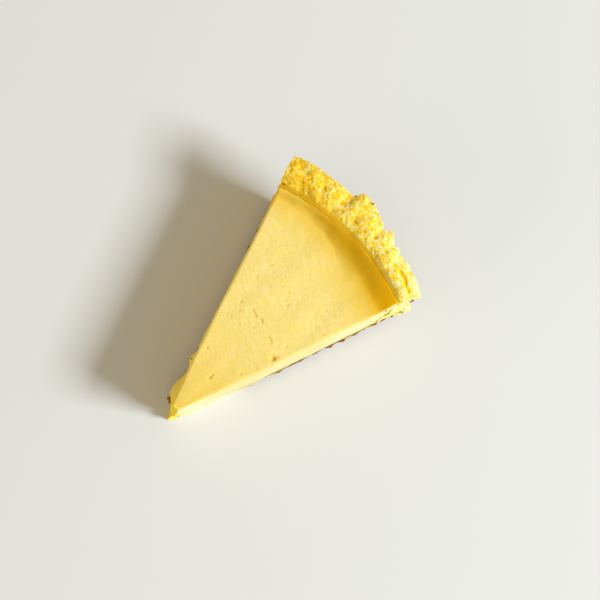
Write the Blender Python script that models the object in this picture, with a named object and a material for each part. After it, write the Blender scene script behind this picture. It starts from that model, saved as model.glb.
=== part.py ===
# One slice of key lime pie: a thick crumb crust and the set lime custard that fills it.
#
# The slice stands on its flat underside. Its tip points to -Y, its rim to +Y, and +Z is up.
# A place in it is given by a radius from the whole pie's axis, a share across the slice from
# the left cut (-1) to the right cut (+1), and a height. Units are metres, angles are degrees.

import math

import bmesh
import bpy
from mathutils import Vector, noise

MM = 0.001

# The whole pie that the slice was cut from
SLICE_ANGLE = 38.4
RIM_RADIUS = 125.5 * MM
BASE_RADIUS = 107 * MM
RIM_HEIGHT = 35 * MM
BASE_THICKNESS = 5 * MM
FILLING_LEVEL = 29 * MM

# Where the pie's axis lies, so that the origin is at the middle of the slice's underside
AXIS = Vector((-0.38 * MM, -63.32 * MM, 0.0))

# Stations across the slice are straight up to the first radius and full arcs from the second
STRAIGHT_UNTIL = 20 * MM
ARCS_FROM = 80 * MM

# Crust: the inside of its wall, the outer edge of its top, the tin's rounded corner and its tip
WALL_FOOT_RADIUS = 99 * MM
CREST_RADIUS = 112.3 * MM
OUTER_EDGE_HEIGHT = 32.5 * MM
TIN_CORNER = 5 * MM
CREST_DOME = 1.5 * MM
CREST_SAG = 0.9 * MM
CREST_SAG_START = -0.5
INNER_SHOULDER = 2 * MM
SHOULDER_SHARE = 0.78
CRUST_TIP_RADIUS = -1.9 * MM

# The baked lip that stands out past the rim between its two broken ends
LIP = 3.0 * MM
LIP_START = -0.24
LIP_END = 0.03
LIP_DEPTH = 7 * MM
LIP_BREAK = 0.05

# The right part of the rim has lost its outer edge and has a rounded shoulder and a crack instead
WORN_EDGE = 2.4 * MM
WORN_MORE = 1.4 * MM
WORN_START = 0.32
WORN_BREAK = 0.1
WORN_DEPTH = 14 * MM
SHOULDER_DROP = 1.8 * MM
CRACK_START = 0.5
CRACK_DEPTH = 2.6 * MM
CRACK_PLACE = 0.375
CRACK_WIDTH = 0.09

# Under its right end the rim is chipped, so that its top overhangs the wall there
CHIP = 4 * MM
CHIP_START = 0.8
CHIP_TOP = 31 * MM
CHIP_SOFT = 4 * MM

# Filling: its blunt tip, its shallow swells, the way it climbs the crust, and the gap round it
FILLING_TIP_RADIUS = 0.8 * MM
TIP_SLUMP = 17 * MM
TIP_SLUMP_END = 6.5 * MM
SWELL = 0.35 * MM
SWELL_SIZE = 28 * MM
MENISCUS = 0.7 * MM
MENISCUS_SHARE = 0.95
TOP_EDGE_ROUND = 0.8 * MM
TOP_EDGE_START = 0.85
CUT_WAVE = 0.25 * MM
CUT_WAVE_SIZE = 9 * MM
GAP = 0.3 * MM

# How far each cut stands out at its foot, and how far the crust's base stands out past it
LEFT_DRAFT = 1.45 * MM
RIGHT_DRAFT = 1.7 * MM
BASE_PROUD = 0.5 * MM

# Both cuts are a little rounded outwards along their length, and draw in at the slice's nose
CUT_ROUND = 0.6 * MM
CUT_ROUND_RADIUS = 42 * MM
CUT_ROUND_REACH = 30 * MM
NOSE_START = 0 * MM
NOSE_END = 8 * MM
NOSE_SHARE = 0.42

# Bumps of the cuts, each as radius, height, reach along, reach up and how far it stands out:
# soft custard by the tip and a small ledge on the left cut, two lumps of crust on the right cut
TIP_BELLY = (11 * MM, 11 * MM, 7.5 * MM, 10 * MM, 3.6 * MM)
BELLY_START = 3.2 * MM
BELLY_FULL = 7.5 * MM
LEDGE = (27 * MM, 17 * MM, 2.6 * MM, 7 * MM, 1.7 * MM)
CRUST_LUMP = (114 * MM, 19 * MM, 6.5 * MM, 6.5 * MM, 3.2 * MM)
RIM_END_LUMP = (123 * MM, 34 * MM, 5 * MM, 5 * MM, 1.5 * MM)

# Relief of the crumbs, and how much of it each side of the crust has
CLUMP_SIZE = 5.5 * MM
CLUMP_RELIEF = 0.9 * MM
CRUMB_SIZE = 2.8 * MM
CRUMB_RELIEF = 0.9 * MM
CREST_ROUGHNESS = 1.0
CUT_ROUGHNESS = 0.7
TIN_SIDE_ROUGHNESS = 0.35
CORNER_WEAR = 1.0 * MM
CORNER_WEAR_START = 0.9

# Fineness of the two solids: stations along, through the thickness or height, and across
CRUST_BASE_STATIONS = 52
CRUST_CORNER_STATIONS = 6
CRUST_WALL_STATIONS = 16
CRUST_LAYERS = 9
CRUST_COLUMNS = 57
FILLING_STATIONS = 32
FILLING_LAYERS = 8
FILLING_COLUMNS = 17

HALF_ANGLE = math.radians(SLICE_ANGLE / 2)


def smooth(low, high, value):
    # 0 on the low side, 1 on the high side, with a soft step between
    t = max(0.0, min(1.0, (value - low) / (high - low)))
    return t * t * (3 - 2 * t)


def bell(distance, reach):
    return math.exp(-((distance / reach) ** 2))


def mix(a, b, share):
    return a + (b - a) * share


def spread(start, end, count):
    return [mix(start, end, i / (count - 1)) for i in range(count)]


def place(radius, across, height, out):
    # A cut face stands outside its own radial line by out
    angle = across * HALF_ANGLE
    chord = Vector((across * radius * math.sin(HALF_ANGLE), radius * math.cos(HALF_ANGLE)))
    arc = Vector((radius * math.sin(angle), radius * math.cos(angle)))
    flat = chord.lerp(arc, smooth(STRAIGHT_UNTIL, ARCS_FROM, radius))
    side = across * out / math.cos(HALF_ANGLE)
    return AXIS + Vector((flat.x + side, flat.y, height))


# The cut faces


def cut_bump(shape, radius, height):
    middle_radius, middle_height, reach_along, reach_up, out = shape
    return out * bell(radius - middle_radius, reach_along) * bell(height - middle_height, reach_up)


def lean(radius, across, height, proud):
    # How far a cut stands out: by its draft, by the base's edge, and by its own rounding
    draft = RIGHT_DRAFT if across > 0 else LEFT_DRAFT
    foot = draft * (1 - height / FILLING_LEVEL) + proud * smooth(RIM_HEIGHT, BASE_THICKNESS, height)
    drawn_in = mix(NOSE_SHARE, 1, smooth(NOSE_START, NOSE_END, radius))
    return foot * drawn_in + CUT_ROUND * bell(radius - CUT_ROUND_RADIUS, CUT_ROUND_REACH)


def tip_bulge(radius, across, height):
    if across > 0:
        return 0.0
    belly = cut_bump(TIP_BELLY, radius, height) * smooth(BELLY_START, BELLY_FULL, radius)
    return belly + cut_bump(LEDGE, radius, height)


def crust_lump(radius, across, height):
    if across < 0:
        return 0.0
    return cut_bump(CRUST_LUMP, radius, height) + cut_bump(RIM_END_LUMP, radius, height)


# The crust


def wall_path(foot_radius, foot_height, top_radius, top_height):
    # A flat run that turns up a leaning wall through a rounded corner
    rise = TIN_CORNER / (top_height - foot_height)
    return (
        (foot_radius - TIN_CORNER, foot_height),
        (foot_radius, foot_height),
        (mix(foot_radius, top_radius, rise), foot_height + TIN_CORNER),
        (top_radius, top_height),
    )


OUTSIDE = wall_path(BASE_RADIUS, 0.0, RIM_RADIUS, OUTER_EDGE_HEIGHT)
INSIDE = wall_path(WALL_FOOT_RADIUS, BASE_THICKNESS, CREST_RADIUS, RIM_HEIGHT)


def along(path, stage, share):
    # A point of the crust's section: along its base, round its corner or up its wall
    start, control, end, top = path
    if stage == "base":
        return (mix(CRUST_TIP_RADIUS, start[0], share), start[1])
    if stage == "wall":
        return (mix(end[0], top[0], share), mix(end[1], top[1], share))
    weights = ((1 - share) ** 2, 2 * share * (1 - share), share**2)
    return tuple(sum(w * p[i] for w, p in zip(weights, (start, control, end))) for i in (0, 1))


def edge_offset(across, height):
    # The lip stands out past the rim, and further right the rim's edge has broken away
    started = smooth(LIP_START, LIP_START + LIP_BREAK, across)
    ended = smooth(LIP_END - LIP_BREAK, LIP_END + LIP_BREAK, across)
    lip = LIP * started * (1 - ended) * smooth(-LIP_DEPTH, 0, height - OUTER_EDGE_HEIGHT)
    worn = WORN_EDGE * smooth(WORN_START, WORN_START + WORN_BREAK, across)
    worn += WORN_MORE * smooth(WORN_START, 1, across)
    chip = CHIP * smooth(CHIP_START, 1, across) * smooth(CHIP_TOP, CHIP_TOP - CHIP_SOFT, height)
    chip *= smooth(BASE_THICKNESS, 2 * BASE_THICKNESS, height)
    return lip - worn * smooth(-WORN_DEPTH, 0, height - OUTER_EDGE_HEIGHT) - chip


def crest(across, through):
    # How far the rim's top stands above the straight line between its two edges
    dome = CREST_DOME * math.sin(math.pi * through)
    worn = smooth(WORN_START, CRACK_START, across)
    shoulder = SHOULDER_DROP * worn * smooth(CRACK_PLACE, 0, through)
    cracked = smooth(CRACK_START, CRACK_START + WORN_BREAK, across)
    crack = CRACK_DEPTH * cracked * bell(through - CRACK_PLACE, CRACK_WIDTH)
    inner = INNER_SHOULDER * smooth(SHOULDER_SHARE, 1, through) * smooth(1, WORN_START, across)
    return dome - shoulder - crack - inner - CREST_SAG * smooth(CREST_SAG_START, -1, across)


def crust_point(stage, share, through, across, at_crest):
    # Through the crust from its outside or underside (0) to its inside (1)
    outer = along(OUTSIDE, stage, share)
    inner = along(INSIDE, stage, share)
    radius = mix(outer[0], inner[0], through)
    height = mix(outer[1], inner[1], through)
    radius += edge_offset(across, height) * (1 - through)
    if at_crest:
        height += crest(across, through)
        height -= CORNER_WEAR * smooth(CORNER_WEAR_START, 1, abs(across))
    out = lean(radius, across, height, BASE_PROUD) + tip_bulge(radius, across, height)
    out += crust_lump(radius, across, height)
    return place(radius, across, height, out)


def crumb(point, size):
    # 1 at the middle of a crumb and about -1 in the clefts between crumbs
    return 1 - 2 * noise.voronoi(point / size)[0][0]


def crumb_relief(point):
    return CLUMP_RELIEF * crumb(point, CLUMP_SIZE) + CRUMB_RELIEF * crumb(point, CRUMB_SIZE)


def block_mesh(counts, point_at):
    # A closed mesh on the six sides of a block of stations, and the vertex of each station
    mesh = bmesh.new()
    vertices = {}

    def vertex(index):
        if index not in vertices:
            vertices[index] = mesh.verts.new(point_at(*index))
        return vertices[index]

    for axis in range(3):
        first, second = [a for a in range(3) if a != axis]
        for end in (0, counts[axis] - 1):
            for a in range(counts[first] - 1):
                for b in range(counts[second] - 1):
                    ring = []
                    for step_a, step_b in ((0, 0), (1, 0), (1, 1), (0, 1)):
                        index = [0, 0, 0]
                        index[axis] = end
                        index[first] = a + step_a
                        index[second] = b + step_b
                        ring.append(vertex(tuple(index)))
                    mesh.faces.new(ring)
    bmesh.ops.recalc_face_normals(mesh, faces=mesh.faces)
    mesh.normal_update()
    return mesh, vertices


def crust_stations():
    # The stages of the section from the tip to the rim's top, each with its shares along
    base = [("base", share) for share in spread(0, 1, CRUST_BASE_STATIONS)]
    corner = [("corner", share) for share in spread(0, 1, CRUST_CORNER_STATIONS)[1:]]
    wall = [("wall", share) for share in spread(0, 1, CRUST_WALL_STATIONS)[1:]]
    return base + corner + wall


def crumb_step(index, last, vertex):
    # How far one vertex of the crust moves: most on the broken top, least where it was pressed
    station, layer, column = index
    height = vertex.co.z
    relief = crumb_relief(vertex.co - AXIS)
    if station == last[0] and 0 < layer < last[1]:
        return vertex.normal * relief * CREST_ROUGHNESS
    if station == last[0]:
        return vertex.normal * relief * TIN_SIDE_ROUGHNESS
    if column in (0, last[2]):
        side = 1 if column else -1
        outward = Vector((side * math.cos(HALF_ANGLE), -math.sin(HALF_ANGLE), 0))
        return outward * relief * CUT_ROUGHNESS
    if station == 0:
        return Vector((0, -relief * CUT_ROUGHNESS, 0))
    flat_normal = Vector((vertex.normal.x, vertex.normal.y, 0))
    if layer == 0:
        return flat_normal * relief * TIN_SIDE_ROUGHNESS * smooth(TIN_CORNER, 2 * TIN_CORNER, height)
    above_filling = smooth(FILLING_LEVEL + 2 * MENISCUS, FILLING_LEVEL + 4 * MENISCUS, height)
    return flat_normal * relief * TIN_SIDE_ROUGHNESS * above_filling


def make_crust(material):
    stations = crust_stations()
    layers = spread(0, 1, CRUST_LAYERS)
    columns = spread(-1, 1, CRUST_COLUMNS)
    counts = (len(stations), len(layers), len(columns))
    last = [count - 1 for count in counts]

    def point_at(station, layer, column):
        stage, share = stations[station]
        return crust_point(stage, share, layers[layer], columns[column], station == last[0])

    mesh, vertices = block_mesh(counts, point_at)
    steps = {vertex: crumb_step(index, last, vertex) for index, vertex in vertices.items()}
    for vertex, step in steps.items():
        vertex.co += step
    return finish("crust", mesh, material)


# The filling


def filling_surface(share, radius, across):
    # The custard's top is level, falls away at the blunt tip and climbs the crust a little
    slump = TIP_SLUMP * (1 - smooth(FILLING_TIP_RADIUS, TIP_SLUMP_END, radius))
    climb = MENISCUS * smooth(MENISCUS_SHARE, 1, share)
    swell = SWELL * noise.noise(Vector((radius, across * radius, 0)) / SWELL_SIZE)
    return FILLING_LEVEL - slump + climb + swell


def filling_back(height):
    # The radius of the custard's back at this height, just clear of the crust's inside
    foot, corner, turned, top = INSIDE
    if height >= turned[1]:
        rise = (height - turned[1]) / (top[1] - turned[1])
        return mix(turned[0], top[0], rise) - 1.2 * GAP
    rise = max(0.0, (height - foot[1]) / (turned[1] - foot[1]))
    return along(INSIDE, "corner", math.sqrt(rise))[0] - 2 * GAP


def filling_point(share, layer, across):
    # From tip to back by share, and from the custard's floor (0) to its top (1) by layer
    floor = BASE_THICKNESS + GAP
    top = FILLING_LEVEL
    for _ in range(4):
        height = mix(floor, top, layer)
        radius = mix(FILLING_TIP_RADIUS, filling_back(height), share)
        top = filling_surface(share, radius, across)
    out = lean(radius, across, height, 0.0) + tip_bulge(radius, across, height)
    out += CUT_WAVE * noise.noise(Vector((radius, 3 * height, 0)) / CUT_WAVE_SIZE)
    out -= TOP_EDGE_ROUND * smooth(TOP_EDGE_START, 1, layer)
    return place(radius, across, height, out)


def make_filling(material):
    # Stations stand closer together at the blunt tip
    shares = [share**1.5 for share in spread(0, 1, FILLING_STATIONS)]
    layers = spread(0, 1, FILLING_LAYERS)
    columns = spread(-1, 1, FILLING_COLUMNS)

    def point_at(station, layer, column):
        return filling_point(shares[station], layers[layer], columns[column])

    mesh, _ = block_mesh((len(shares), len(layers), len(columns)), point_at)
    return finish("filling", mesh, material)


def food_material(name, colour, roughness):
    material = bpy.data.materials.new(name)
    material.use_nodes = True
    shader = material.node_tree.nodes["Principled BSDF"]
    shader.inputs["Base Color"].default_value = (*colour, 1.0)
    shader.inputs["Roughness"].default_value = roughness
    shader.inputs["Metallic"].default_value = 0.0
    return material


def finish(name, mesh, material):
    data = bpy.data.meshes.new(name)
    mesh.to_mesh(data)
    mesh.free()
    data.materials.append(material)
    data.shade_smooth()
    data.set_sharp_from_angle(angle=math.radians(40))
    solid = bpy.data.objects.new(name, data)
    bpy.context.scene.collection.objects.link(solid)
    return solid


def main():
    for old in list(bpy.data.objects):
        bpy.data.objects.remove(old)
    make_crust(food_material("crumb crust", (0.80, 0.52, 0.12), 0.85))
    make_filling(food_material("set lime custard", (0.93, 0.74, 0.24), 0.45))


main()
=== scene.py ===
import math

import bmesh
import bpy
import numpy as np
from mathutils import Matrix, Vector, noise
from mathutils.bvhtree import BVHTree


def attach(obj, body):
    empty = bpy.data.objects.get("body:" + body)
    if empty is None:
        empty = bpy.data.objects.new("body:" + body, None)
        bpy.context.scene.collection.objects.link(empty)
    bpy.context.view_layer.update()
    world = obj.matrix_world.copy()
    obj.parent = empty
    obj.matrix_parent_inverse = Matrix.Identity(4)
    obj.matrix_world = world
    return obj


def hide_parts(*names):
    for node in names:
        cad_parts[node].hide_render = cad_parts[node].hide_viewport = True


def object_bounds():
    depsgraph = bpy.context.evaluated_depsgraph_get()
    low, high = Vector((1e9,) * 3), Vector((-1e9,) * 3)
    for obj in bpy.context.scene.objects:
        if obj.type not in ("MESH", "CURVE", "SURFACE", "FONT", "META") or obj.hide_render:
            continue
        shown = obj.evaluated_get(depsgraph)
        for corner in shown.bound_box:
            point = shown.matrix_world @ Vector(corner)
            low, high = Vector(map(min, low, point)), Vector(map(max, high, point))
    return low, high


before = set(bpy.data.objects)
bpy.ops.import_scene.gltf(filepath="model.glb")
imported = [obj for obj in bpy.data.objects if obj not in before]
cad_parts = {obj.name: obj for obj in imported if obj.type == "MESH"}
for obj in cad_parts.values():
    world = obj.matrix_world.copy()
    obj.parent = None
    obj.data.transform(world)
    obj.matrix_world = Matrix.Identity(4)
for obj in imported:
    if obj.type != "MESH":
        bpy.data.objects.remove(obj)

mm = 0.001
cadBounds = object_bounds()

# the whole pie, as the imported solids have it
pie = dict(
    axis=(-0.38 * mm, -63.32 * mm),
    halfAngle=math.radians(19.2),
    straightUntil=20 * mm,
    arcsFrom=80 * mm,
    baseThickness=5 * mm,
    custardLevel=29 * mm,
    tinCorner=5 * mm,
    wallFoot=99 * mm,
    crestRadius=112.3 * mm,
    rimRadius=125.5 * mm,
    rimHeight=35 * mm,
    outerEdgeHeight=32.5 * mm,
    baseRadius=107 * mm,
)

# the photograph's view: nearly straight down, with the slice's tip to the lower left
view = dict(
    distance=600 * mm,
    level=31.5 * mm,
    tilt=math.radians(4.5),
    bisector=math.radians(44.86),
    scale=0.43 * mm,
    imageSize=600,
    sensorWidth=36,
    clipStart=0.01,
    axisPixel=(164.68, 417.44),
)


# Camera

def cameraAxes():
    # the picture's right, up and forward directions in the slice's own frame
    right = np.array([math.sin(view["bisector"]), math.cos(view["bisector"]), 0.0])
    flatUp = np.array([-math.cos(view["bisector"]), math.sin(view["bisector"]), 0.0])
    straightUp = np.array([0.0, 0.0, 1.0])
    up = flatUp * math.cos(view["tilt"]) + straightUp * math.sin(view["tilt"])
    forward = flatUp * math.sin(view["tilt"]) - straightUp * math.cos(view["tilt"])
    return right, up, forward


def pixelRay(pixel):
    # direction from the camera through a pixel of the 600 x 600 picture
    right, up, forward = cameraAxes()
    focal = view["distance"] / view["scale"]
    half = view["imageSize"] / 2
    return forward + (pixel[0] - half) / focal * right + (half - pixel[1]) / focal * up


def cameraPlace():
    # where the camera stands, so that the pie's axis at custard level lands on its pixel
    ray = pixelRay(view["axisPixel"])
    forward = cameraAxes()[2]
    anchor = np.array([*pie["axis"], view["level"]])
    return anchor - ray * (view["distance"] * forward[2] / ray[2])


def pixelPlace(pixel, height):
    # the place at that height that the pixel shows
    camera, ray = cameraPlace(), pixelRay(pixel)
    return camera + ray * ((height - camera[2]) / ray[2])


def makeCamera():
    right, up, forward = cameraAxes()
    data = bpy.data.cameras.new("overheadCamera")
    data.sensor_width = view["sensorWidth"]
    data.lens = view["sensorWidth"] * view["distance"] / view["scale"] / view["imageSize"]
    data.clip_start = view["clipStart"]
    camera = bpy.data.objects.new("overheadCamera", data)
    bpy.context.scene.collection.objects.link(camera)
    turn = Matrix((right, up, -forward)).transposed().to_4x4()
    camera.matrix_world = Matrix.Translation(cameraPlace()) @ turn
    bpy.context.scene.camera = camera
    print("camera placed")


# Small tools

def fade(low, high, value):
    t = np.clip((value - low) / (high - low), 0, 1)
    return t * t * (3 - 2 * t)


def bell(distance, reach):
    return np.exp(-((distance / reach) ** 2))


def mix(a, b, share):
    return a + (b - a) * share


def slicePlace(points):
    # radius and share across of each point
    dx = points[:, 0] - pie["axis"][0]
    dy = points[:, 1] - pie["axis"][1]
    return np.hypot(dx, dy), np.arctan2(dx, dy) / pie["halfAngle"]


def softNoise(points, size, offset=0.0):
    # smooth noise, about -1 to 1, with lumps of that size
    shift = Vector((offset, 2 * offset, 3 * offset))
    return np.array([noise.noise(Vector(p) / size + shift) for p in points])


def zone(piece, name, value):
    # how far a value has come in one of the piece's zones
    return fade(*piece["zones"][name], value)


def layered(points, layers):
    # sum of noises, each with its lump size, depth and offset
    return sum(depth * softNoise(points, size, offset) for size, depth, offset in layers)


def outwardFacing(normals, across):
    # how far each normal points away from the whole pie's axis
    angle = across * pie["halfAngle"]
    return normals[:, 0] * np.sin(angle) + normals[:, 1] * np.cos(angle)


def meshArrays(mesh):
    points = np.empty(len(mesh.vertices) * 3)
    mesh.vertices.foreach_get("co", points)
    normals = np.empty(len(mesh.vertices) * 3)
    mesh.vertices.foreach_get("normal", normals)
    return points.reshape(-1, 3), normals.reshape(-1, 3)


def setPoints(mesh, points):
    mesh.vertices.foreach_set("co", points.reshape(-1))
    mesh.update()


def lineDistance(points, pixels, height):
    # flat distance from each point to a line drawn through pixels of the picture
    corners = [pixelPlace(pixel, height)[:2] for pixel in pixels]
    nearest = np.full(len(points), np.inf)
    for a, b in zip(corners, corners[1:]):
        along = np.clip(((points[:, :2] - a) @ (b - a)) / ((b - a) @ (b - a)), 0, 1)
        away = np.linalg.norm(points[:, :2] - a - along[:, None] * (b - a), axis=1)
        nearest = np.minimum(nearest, away)
    return nearest


def faceMesh(name, points, faces):
    # faces is a list of arrays, one row of vertex numbers to a face
    mesh = bpy.data.meshes.new(name)
    mesh.vertices.add(len(points))
    mesh.vertices.foreach_set("co", np.ascontiguousarray(points, dtype=np.float64).reshape(-1))
    sizes = np.concatenate([np.full(len(f), f.shape[1]) for f in faces])
    corners = np.concatenate([f.reshape(-1) for f in faces]).astype(np.int32)
    mesh.loops.add(len(corners))
    mesh.loops.foreach_set("vertex_index", corners)
    mesh.polygons.add(len(sizes))
    mesh.polygons.foreach_set("loop_start", np.concatenate([[0], np.cumsum(sizes)[:-1]]).astype(np.int32))
    mesh.update(calc_edges=True)
    return mesh


def triangles(mesh):
    mesh.calc_loop_triangles()
    corners = np.empty(len(mesh.loop_triangles) * 3, dtype=np.int32)
    mesh.loop_triangles.foreach_get("vertices", corners)
    return corners.reshape(-1, 3)


def meshEdges(mesh):
    ends = np.empty(len(mesh.edges) * 2, dtype=np.int32)
    mesh.edges.foreach_get("vertices", ends)
    return ends.reshape(-1, 2)


def averaged(values, edges, rounds):
    # each value drawn to the mean of its neighbours, again and again
    count = len(values)
    ends = np.concatenate([edges, edges[:, ::-1]])
    share = np.bincount(ends[:, 0], minlength=count)
    for _ in range(rounds):
        total = np.bincount(ends[:, 0], weights=values[ends[:, 1]], minlength=count)
        values = np.where(share > 0, 0.5 * values + 0.5 * total / np.maximum(share, 1), values)
    return values


def weldedCopy(node, name):
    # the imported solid's mesh, with its doubled vertices joined
    work = bmesh.new()
    work.from_mesh(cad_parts[node].data)
    bmesh.ops.remove_doubles(work, verts=work.verts, dist=1e-6)
    mesh = bpy.data.meshes.new(name)
    work.to_mesh(mesh)
    work.free()
    return mesh


def withModifiers(mesh, modifiers):
    # the mesh after a stack of modifiers, each a kind and its settings
    thing = bpy.data.objects.new("work", mesh)
    bpy.context.scene.collection.objects.link(thing)
    for kind, settings in modifiers:
        modifier = thing.modifiers.new(kind.lower(), kind)
        for key, value in settings.items():
            setattr(modifier, key, value)
    ready = thing.evaluated_get(bpy.context.evaluated_depsgraph_get())
    result = bpy.data.meshes.new_from_object(ready)
    bpy.data.objects.remove(thing)
    return result


def paint(mesh, **layers):
    # one attribute for each named array of values
    for name, values in layers.items():
        layer = mesh.attributes.new(name, "FLOAT", "POINT")
        layer.data.foreach_set("value", values.astype(np.float32))


def addPiece(name, mesh, material, node=None):
    mesh.name = name
    mesh.materials.clear()
    mesh.materials.append(material)
    mesh.shade_smooth()
    piece = bpy.data.objects.new(name, mesh)
    bpy.context.scene.collection.objects.link(piece)
    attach(piece, "root")
    if node:
        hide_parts(node)
    return piece


def insideBox(points):
    # keeps crumbs inside the solids' own box, by a small margin
    low, high = (np.array(corner) for corner in cadBounds)
    margin = 0.02 * mm
    return np.clip(points, low + margin, high - margin)


# Material tools

def hexColour(code):
    # sRGB hex value as linear red, green, blue and alpha
    parts = [int(code[i:i + 2], 16) / 255 for i in (1, 3, 5)]
    linear = [p / 12.92 if p <= 0.04045 else ((p + 0.055) / 1.055) ** 2.4 for p in parts]
    return (*linear, 1.0)


def addNode(tree, kind, inputs=None, **settings):
    # one node with its settings, values, colours and incoming links
    node = tree.nodes.new("ShaderNode" + kind)
    for key, value in settings.items():
        setattr(node, key, value)
    for socket, value in (inputs or {}).items():
        if isinstance(value, bpy.types.NodeSocket):
            tree.links.new(value, node.inputs[socket])
        elif isinstance(value, str):
            node.inputs[socket].default_value = hexColour(value)
        else:
            node.inputs[socket].default_value = value
    return node


def newMaterial(name):
    material = bpy.data.materials.new(name)
    material.use_nodes = True
    tree = material.node_tree
    tree.nodes.clear()
    return material, tree


# Crust

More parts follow.
